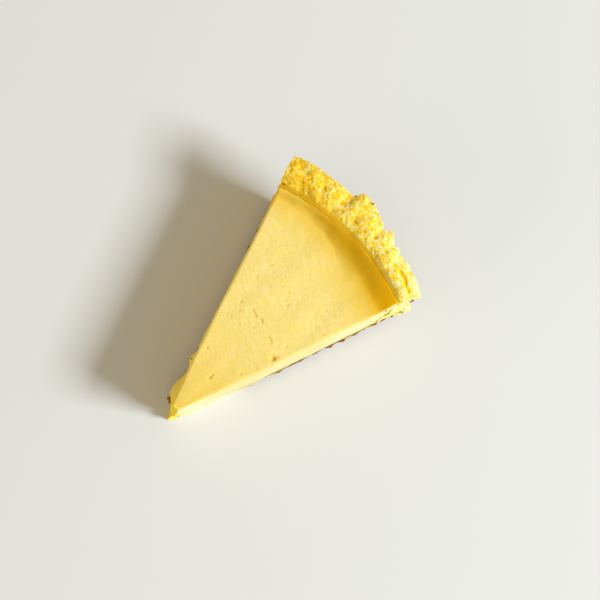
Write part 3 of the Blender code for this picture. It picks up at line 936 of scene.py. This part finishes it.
def markCustard(mesh, points, cut, sunk, toEdge, across, radius):
    # where it is gold or in the rim's painted shade, cut, torn or dented
    onRight = across > 0
    rightward = zone(custard, "goldAcross", across)
    rim = fade(mix(*custard["goldFrom"], rightward), custard["goldTo"], radius)
    rim *= mix(*custard["goldShare"], rightward)
    both, more = custard["goldTip"]
    tip = both * zone(custard, "goldTip", radius)
    tip += more * zone(custard, "goldTipAcross", across) * zone(custard, "goldTipRight", radius)
    rimShadowFrom = np.interp(across, custard["rimShadowAcross"], custard["rimShadowFrom"])
    rimShadowFull = np.interp(across, custard["rimShadowAcross"], custard["rimShadowFull"])
    creamy = custard["noseSpared"] * cut * onRight * zone(custard, "noseCut", radius)
    edge = zone(custard, "edge", toEdge) * zone(custard, "edgeRadius", radius)
    paleBack = custard["paleBack"] * zone(custard, "paleBack", radius)
    paint(
        mesh,
        rightCut=np.maximum(cut, edge) * onRight,
        leftCut=np.maximum(cut, custard["leftEdge"] * edge) * (across < 0),
        gold=np.maximum(rim, tip),
        # painted shadow of the rim on the custard
        deep=fade(rimShadowFrom, rimShadowFull, radius + layered(points, custard["relief"]["deep"])),
        across=across,
        climb=zone(custard, "climb", radius),
        nose=zone(custard, "nose", radius) * (1 - creamy),
        sunk=np.clip(sunk / custard["sunkFull"], 0, 1),
        radial=radius / mm,
        paleEnds=np.maximum(zone(custard, "paleTip", radius), paleBack),
    )


def custardMaterial():
    # lime custard, baked and knife cut: a satin skin smoothed with a spatula, paler and creamier
    # where the knife went on the right, deeper yellow towards the crust with painted shade from the rim,
    # and the left cut and the torn nose painted as custard in shade
    material, tree = newMaterial("lime custard, baked, with a knife cut")
    marks = {}
    for name in (
        "rightCut", "leftCut", "gold", "deep", "climb", "across", "nose", "sunk", "radial", "paleEnds",
    ):
        marks[name] = addNode(tree, "Attribute", attribute_name=name).outputs["Fac"]
    place = addNode(tree, "TexCoord").outputs["Object"]
    # spatula strokes, 1 mm wide and about 10 mm long
    turned = addNode(tree, "Mapping", {
        "Vector": place, "Rotation": (0.0, 0.0, custard["strokeTurn"]), "Scale": (1.0, 9.0, 1.0),
    }, vector_type="TEXTURE").outputs["Vector"]
    # the knife's drag lines on the cut, along the slice and about 1 mm apart
    rise = addNode(tree, "SeparateXYZ", {"Vector": place}).outputs["Z"]
    along = addNode(tree, "CombineXYZ", {"X": marks["radial"], "Z": rise}).outputs["Vector"]
    dragged = addNode(tree, "Mapping", {
        "Vector": along, "Scale": (0.09, 1.0, 1 / mm),
    }).outputs["Vector"]
    # cloudy tone as broad as a fingertip and as fine as a lentil, strokes, drag lines, the torn nose's
    # blotches and a fine grain
    noises = {}
    for name, where, scale, detail in (
        ("broad", place, 1 / (12 * mm), 2.0),
        ("mottle", place, 1 / (1.6 * mm), 4.0),
        ("stroke", turned, 1 / (1.0 * mm), 2.0),
        ("drag", dragged, 0.55, 3.0),
        ("blotch", place, 1 / (2.4 * mm), 2.0),
        ("fine", place, 1 / (0.8 * mm), 3.0),
    ):
        noises[name] = addNode(tree, "TexNoise", {
            "Vector": where, "Scale": scale, "Detail": detail,
        }).outputs["Fac"]
    # painted shade of pores about half a millimetre wide and some 4 mm apart
    poreShade = addNode(tree, "TexVoronoi", {"Vector": place, "Scale": 1 / (2.4 * mm)})
    # each share: what it follows, where it starts and is full, and its most
    shares = {}
    for name, value, start, full, most in (
        ("broad", noises["broad"], 0.35, 0.65, 1.0),
        ("mottle", noises["mottle"], 0.42, 0.68, 0.6),
        ("stroke", noises["stroke"], 0.42, 0.68, 0.75),
        ("drag", noises["drag"], 0.34, 0.66, 1.0),
        ("blotch", noises["blotch"], 0.4, 0.6, 1.0),
        ("poreShade", poreShade.outputs["Distance"], 0.16, 0.08, 0.55),
        ("rightEnd", marks["across"], 0.45, 0.9, 1.0),
        ("rightward", marks["across"], -1.0, 1.0, 1.0),
    ):
        shares[name] = addNode(tree, "MapRange", {
            "Value": value, "From Min": start, "From Max": full, "To Max": most,
        }).outputs["Result"]
    tones = {}
    for name, share, first, second in (
        ("cream", "drag", "#DDC27A", "#E4CB8E"),
        ("shaded", "drag", "#F8CC42", "#FEDC60"),
        # the torn nose, painted gold for the shade it lies in and brightened as if light passed through
        # it
        ("nose", "blotch", "#FFE848", "#F8C80C"),
        # painted shadow of the rim: deep gold, deeper at the right end
        ("deep", "rightEnd", "#DCAC12", "#F6BC06"),
    ):
        tones[name] = addNode(tree, "Mix", {
            "Factor": shares[share], "A": first, "B": second,
        }, data_type="RGBA").outputs["Result"]
    cream = addNode(tree, "Mix", {
        "Factor": marks["paleEnds"], "A": tones["cream"], "B": "#E9D69C",
    }, data_type="RGBA").outputs["Result"]
    # painted shade and light where the custard climbs the crust: darker gold at the right for the rim's
    # shadow, brighter at the left to lift the shade on the steep slope
    ramp = addNode(tree, "ValToRGB", {"Fac": shares["rightward"]})
    stops = ramp.color_ramp.elements
    stops[0].position, stops[0].color = 0.08, hexColour("#FFE058")
    stops[1].position, stops[1].color = 0.93, hexColour("#EAB104")
    for position, code in ((0.28, "#FFCC38"), (0.5, "#E9B010"), (0.72, "#DCA812")):
        stops.new(position).color = hexColour(code)
    colour = "#F7E296"
    for share, tone in (
        (shares["broad"], "#F4DD84"),
        (shares["mottle"], "#F0D568"),
        (shares["stroke"], "#F1D76E"),
        (shares["poreShade"], "#D9AE3A"),
        # the custard's gold, with painted shade from the rim towards the crust
        (marks["gold"], "#EEC11C"),
        # painted shadow of the rim
        (marks["deep"], tones["deep"]),
        # painted shade and light where the custard climbs the crust
        (marks["climb"], ramp.outputs["Color"]),
        # painted shade in the dents, by their depth
        (marks["sunk"], "#E9C04E"),
        # the left cut, painted as custard in shade
        (marks["leftCut"], tones["shaded"]),
        (marks["rightCut"], cream),
        # painted shade and glow on the torn nose
        (marks["nose"], tones["nose"]),
    ):
        colour = addNode(tree, "Mix", {
            "Factor": share, "A": colour, "B": tone,
        }, data_type="RGBA").outputs["Result"]
    height = addNode(tree, "Math", {
        0: noises["fine"], 1: noises["stroke"],
    }, operation="ADD").outputs["Value"]
    bump = addNode(tree, "Bump", {"Height": height, "Strength": 0.2, "Distance": 0.1 * mm})
    # duller where it is cut or torn
    opened = marks["rightCut"]
    for name in ("leftCut", "nose"):
        opened = addNode(tree, "Math", {
            0: opened, 1: marks[name],
        }, operation="MAXIMUM").outputs["Value"]
    rough = addNode(tree, "MapRange", {
        "Value": opened, "To Min": 0.5, "To Max": 0.9,
    }).outputs["Result"]
    shader = addNode(tree, "BsdfPrincipled", {
        "Base Color": colour,
        "Roughness": rough,
        "IOR": 1.4,
        "Specular IOR Level": 0.1,
        "Subsurface Weight": 0.5,
        "Subsurface Radius": (1.0, 0.8, 0.3),
        "Subsurface Scale": 0.9 * mm,
        "Normal": bump.outputs["Normal"],
    })
    addNode(tree, "OutputMaterial", {"Surface": shader.outputs["BSDF"]})
    return material


# Clinging crumbs

crumbs = dict(
    seed=23,
    # those that show in the photograph: pixel, radius in mm and how browned
    placed=(
        (167.8, 398.4, 1.25, 0.8), (168.9, 402.2, 0.75, 0.6), (178.5, 416.0, 0.45, 0.45),
        (411.0, 302.0, 0.50, 0.7), (414.2, 301.8, 0.55, 0.9), (402.0, 312.0, 0.70, 0.35),
        (391.6, 315.6, 0.65, 0.8), (386.0, 310.6, 0.40, 0.5), (371.2, 324.4, 0.75, 0.55),
        (368.4, 326.4, 0.50, 0.6), (376.6, 321.0, 0.45, 0.4), (356.0, 197.0, 0.50, 0.5),
        (361.6, 196.4, 0.60, 0.45), (366.8, 196.8, 0.50, 0.5), (373.2, 204.4, 0.50, 0.55),
        (373.7, 263.6, 0.40, 0.8), (192.0, 359.0, 0.45, 0.5),
    ),
    # heights in mm tried along the line of sight, and how much nearer a lower one has to be
    tried=(36.5, 0.5, -0.5),
    nearer=0.05 * mm,
    # the others, low on steep sides away from the tip, and fewer on the right
    scattered=36,
    scatteredRadius=(0.35 * mm, 0.80 * mm),
    scatteredTone=(0.1, 0.85),
    rightChance=0.15,
    rightFrom=0.5,
    zones=dict(steep=(0.5, 0.2), low=(12 * mm, 3 * mm)),
    leastHeight=1 * mm,
    leastRadius=20 * mm,
    facets=9,
    facetReach=(0.55, 0.95),
    leastFacing=0.05,
    # a grain's roughness, by lump size, depth and offset, and how far it is squeezed
    rough=((0.6, 0.16, 10), (0.25, 0.08, 50)),
    squeeze=(0.7, 1.25),
    # how far each stands out, as a share of its size: placed and scattered
    sitting=(0.45, 0.12),
)


def unitGrain():
    work = bmesh.new()
    bmesh.ops.create_icosphere(work, subdivisions=3, radius=1.0)
    points = np.array([v.co for v in work.verts])
    corners = np.array([[v.index for v in f.verts] for f in work.faces])
    work.free()
    return points, corners


def sittingPlace(tree, pixel):
    # the place on the slice nearest to the line of sight through a pixel
    best = None
    for height in np.arange(*crumbs["tried"]) * mm:
        spot, normal, _, away = tree.find_nearest(Vector(pixelPlace(pixel, height)))
        if best is None or away < best[0] - crumbs["nearer"]:
            best = (away, np.array(spot), np.array(normal))
    return best[1], best[2]


def brokenGrain(draw, ball, number):
    # a grain with flat broken sides, each the cut of a plane, roughened and squeezed
    planes = draw.normal(size=(crumbs["facets"], 3))
    planes /= np.linalg.norm(planes, axis=1)[:, None]
    reach = draw.uniform(*crumbs["facetReach"], crumbs["facets"])
    facing = np.maximum(ball @ planes.T, crumbs["leastFacing"])
    outline = np.minimum(1.0, (reach / facing).min(axis=1))
    rough = layered(ball, [(size, depth, offset + number) for size, depth, offset in crumbs["rough"]])
    return ball * (outline * (1 + rough))[:, None] * draw.uniform(*crumbs["squeeze"], 3)


def makeCrumbs(carriers):
    # each crumb is turned its own way and partly sunk in what carries it
    draw = np.random.default_rng(crumbs["seed"])
    allPoints, allFaces, start = [], [], 0
    for piece in carriers:
        points, _ = meshArrays(piece.data)
        allPoints.append(points)
        allFaces.append(triangles(piece.data) + start)
        start += len(points)
    points, corners = np.concatenate(allPoints), np.concatenate(allFaces)
    tree = BVHTree.FromPolygons(points.tolist(), corners.tolist())

    proud, sunken = crumbs["sitting"]
    spots = []
    for *pixel, radius, tone in crumbs["placed"]:
        spots.append((*sittingPlace(tree, pixel), radius * mm, tone, proud))
    a, b, c = (points[corners[:, i]] for i in range(3))
    normal = np.cross(b - a, c - a)
    area = np.linalg.norm(normal, axis=1)
    normal = normal / np.maximum(area, 1e-12)[:, None]
    middle = (a + b + c) / 3
    radius, across = slicePlace(middle)
    height = middle[:, 2]
    low = zone(crumbs, "steep", np.abs(normal[:, 2])) * zone(crumbs, "low", height)
    low *= (height > crumbs["leastHeight"]) * (radius > crumbs["leastRadius"])
    chance = area * low * np.where(across > crumbs["rightFrom"], crumbs["rightChance"], 1.0)
    for i in draw.choice(len(corners), crumbs["scattered"], p=chance / chance.sum()):
        size = draw.uniform(*crumbs["scatteredRadius"])
        spots.append((middle[i], normal[i], size, draw.uniform(*crumbs["scatteredTone"]), sunken))

    ball, faces = unitGrain()
    bodies, tones, count = [], [], len(ball)
    for i, (spot, normal, size, tone, sitting) in enumerate(spots):
        turn = np.linalg.qr(draw.normal(size=(3, 3)))[0]
        turn *= np.sign(np.linalg.det(turn))
        body = brokenGrain(draw, ball, i) @ turn * size
        bodies.append(body + spot + normal * size * sitting)
        tones.append(np.full(count, tone))
    shifts = np.arange(len(spots))[:, None, None] * count
    faces = (faces[None] + shifts).reshape(-1, 3)
    mesh = faceMesh("clingingCrumbs", insideBox(np.concatenate(bodies)), [faces])
    paint(mesh, tone=np.concatenate(tones))
    print("crumbs:", len(spots), "with", len(mesh.polygons), "triangles")
    return mesh


def crumbMaterial():
    # crumbs that broke from the crust: matt and dry, pale yellow to toasted brown
    material, tree = newMaterial("loose crust crumbs, toasted")
    tone = addNode(tree, "Attribute", attribute_name="tone").outputs["Fac"]
    place = addNode(tree, "TexCoord").outputs["Object"]
    fine = addNode(tree, "TexNoise", {"Vector": place, "Scale": 1 / (0.5 * mm), "Detail": 4.0})
    spread = addNode(tree, "Math", {
        0: fine.outputs["Fac"], 1: 0.5, 2: -0.25,
    }, operation="MULTIPLY_ADD").outputs["Value"]
    share = addNode(tree, "Math", {0: tone, 1: spread}, operation="ADD").outputs["Value"]
    ramp = addNode(tree, "ValToRGB", {"Fac": share})
    stops = ramp.color_ramp.elements
    stops[0].position, stops[0].color = 0.1, hexColour("#EBCB52")
    stops[1].position, stops[1].color = 0.95, hexColour("#7A4E1C")
    stops.new(0.5).color = hexColour("#B98A22")
    bump = addNode(tree, "Bump", {
        "Height": fine.outputs["Fac"], "Strength": 0.4, "Distance": 0.12 * mm,
    })
    shader = addNode(tree, "BsdfPrincipled", {
        "Base Color": ramp.outputs["Color"],
        "Roughness": 0.8,
        "IOR": 1.45,
        "Specular IOR Level": 0.15,
        "Normal": bump.outputs["Normal"],
    })
    addNode(tree, "OutputMaterial", {"Surface": shader.outputs["BSDF"]})
    return material


# Floor and light

studio = dict(
    floorSize=3.0,
    floorDrop=0.05 * mm,
    floorColour="#DDDCD2",
    lights=(
        dict(
            name="window",
            azimuth=math.radians(-16),
            elevation=math.radians(30),
            distance=3.0, size=(1.1, 0.7), power=124,
            colour=(0.90, 1.0, 1.19),
        ),
        # a pale card that throws light back from the other side, low down
        dict(
            name="bounceCard",
            azimuth=math.radians(205),
            elevation=math.radians(16),
            distance=2.0, size=(1.4, 0.6), power=7.5,
            colour=(1.0, 0.90, 0.72),
        ),
    ),
    roomLight=0.43,
    roomColour=(1.0, 0.88, 0.70),
)


def floorMaterial():
    # matt pale card, which takes a soft shadow and sends a little light back up
    material, tree = newMaterial("pale card, matt")
    shader = addNode(tree, "BsdfPrincipled", {
        "Base Color": studio["floorColour"],
        "Roughness": 0.6,
        "Specular IOR Level": 0.3,
    })
    addNode(tree, "OutputMaterial", {"Surface": shader.outputs["BSDF"]})
    return material


def makeStudio():
    half = studio["floorSize"] / 2
    turns = ((-1, -1), (1, -1), (1, 1), (-1, 1))
    corners = np.array([(half * x, half * y, -studio["floorDrop"]) for x, y in turns])
    floor = bpy.data.objects.new("floor", faceMesh("floor", corners, [np.array([(0, 1, 2, 3)])]))
    floor.data.materials.append(floorMaterial())
    bpy.context.scene.collection.objects.link(floor)

    right, up, _ = cameraAxes()
    flatUp = np.array([up[0], up[1], 0]) / np.hypot(up[0], up[1])
    for lamp in studio["lights"]:
        azimuth, elevation = lamp["azimuth"], lamp["elevation"]
        sideways = math.cos(azimuth) * right + math.sin(azimuth) * flatUp
        toLight = math.cos(elevation) * sideways + math.sin(elevation) * np.array([0, 0, 1])
        data = bpy.data.lights.new(lamp["name"], "AREA")
        data.shape = "RECTANGLE"
        data.size, data.size_y = lamp["size"]
        data.energy, data.color = lamp["power"], lamp["colour"]
        light = bpy.data.objects.new(lamp["name"], data)
        light.location = Vector(toLight * lamp["distance"])
        light.rotation_euler = Vector(toLight).to_track_quat("Z", "Y").to_euler()
        bpy.context.scene.collection.objects.link(light)

    world = bpy.data.worlds.new("softRoom")
    bpy.context.scene.world = world
    world.use_nodes = True
    background = world.node_tree.nodes["Background"]
    background.inputs["Color"].default_value = (*studio["roomColour"], 1.0)
    background.inputs["Strength"].default_value = studio["roomLight"]
    bpy.context.scene.view_settings.view_transform = "Standard"
    print("studio lit")


makeCamera()
makeStudio()

crustMesh = makeCrust()
crustPiece = addPiece("crumbCrust", crustMesh, crustMaterial(), "crust")
print("crust done")

custardMesh, *custardGrid = makeCustard()
shapeCustard(custardMesh, *custardGrid)
custardPiece = addPiece("limeCustard", custardMesh, custardMaterial(), "filling")
print("custard done")

addPiece("clingingCrumbs", makeCrumbs((crustPiece, custardPiece)), crumbMaterial())
